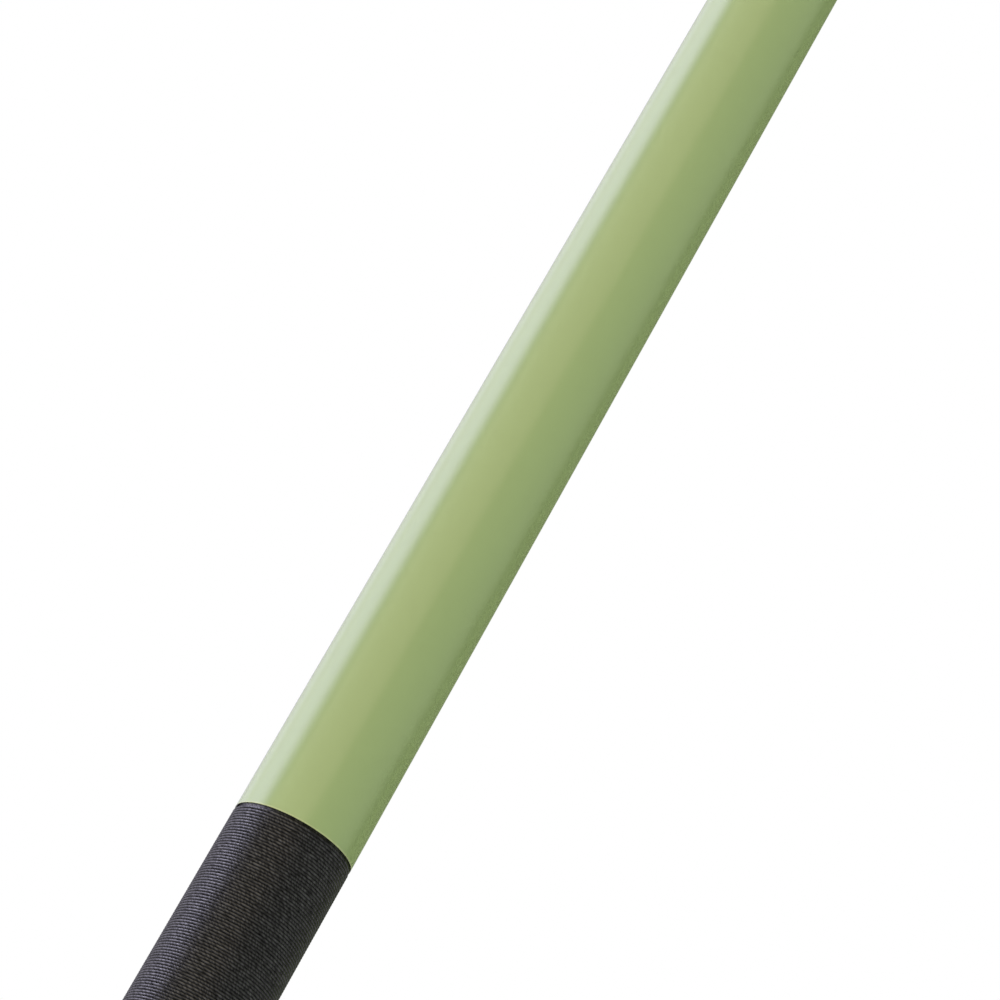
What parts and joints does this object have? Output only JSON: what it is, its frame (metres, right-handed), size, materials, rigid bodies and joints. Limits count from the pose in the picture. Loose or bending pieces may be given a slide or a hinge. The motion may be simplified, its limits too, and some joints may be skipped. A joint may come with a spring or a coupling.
{
  "type": "pool cue",
  "caption": "Straight tapered two-piece cue: painted butt with a thread-wound grip, screw joint, maple shaft, ferrule and leather tip.",
  "frame": {"origin": "centre of the rubber bumper's lower face", "axes": "+Z along the cue's axis from the bumper to the tip, with the cue upright; the cue is round, so X and Y are free"},
  "size_m": [0.0305, 0.0304, 1.473],
  "materials": {
    "green_lacquer": "maple under sage green satin-gloss lacquer",
    "black_linen": "pressed waxed linen thread",
    "core_maple": "bare turned maple",
    "shaft_maple": "sealed and burnished maple",
    "black_phenolic": "polished",
    "ring_metal": "polished nickel silver",
    "pin_steel": "turned stainless steel",
    "insert_brass": "machined",
    "bolt_steel": "plain zinc",
    "screw_steel": "zinc plated",
    "bumper_rubber": "matt moulded rubber",
    "ferrule_resin": "polished ivory-white resin",
    "fibre_pad": "vulcanised fibre",
    "tip_leather": "pressed leather, burnished sides"
  },
  "bodies": {
    "butt": {"bumper": "bumper_rubber", "bumper_washer": "screw_steel", "bumper_screw": "screw_steel", "weight_bolt": "bolt_steel", "butt_cap": "black_phenolic", "cap_ring": "ring_metal", "butt_sleeve": "green_lacquer", "handle_core": "core_maple", "linen_wrap": "black_linen", "a_joint_screw": "bolt_steel", "forearm": "green_lacquer", "forearm_ring": "ring_metal", "butt_collar": "black_phenolic", "joint_pin": "pin_steel"},
    "insert": {"shaft_insert": "insert_brass"},
    "shaft": {"shaft_collar": "black_phenolic", "shaft_ring": "ring_metal", "shaft_wood": "shaft_maple", "ferrule": "ferrule_resin", "tip_pad": "fibre_pad", "tip": "tip_leather"}
  },
  "joints": [
    {"name": "shaft_advance", "type": "slide", "parent": "butt", "child": "insert", "axis": [0, 0, 1], "range_m": [0, 0.02681]},
    {"name": "shaft_turn", "type": "hinge", "parent": "insert", "child": "shaft", "pos_m": [0, 0, 0.737], "axis": [0, 0, 1], "range_deg": [0, 6840]}
  ],
  "couplings": [
    {"joint": "shaft_turn", "follows": "shaft_advance", "rad_per_m": 4452.7}
  ]
}
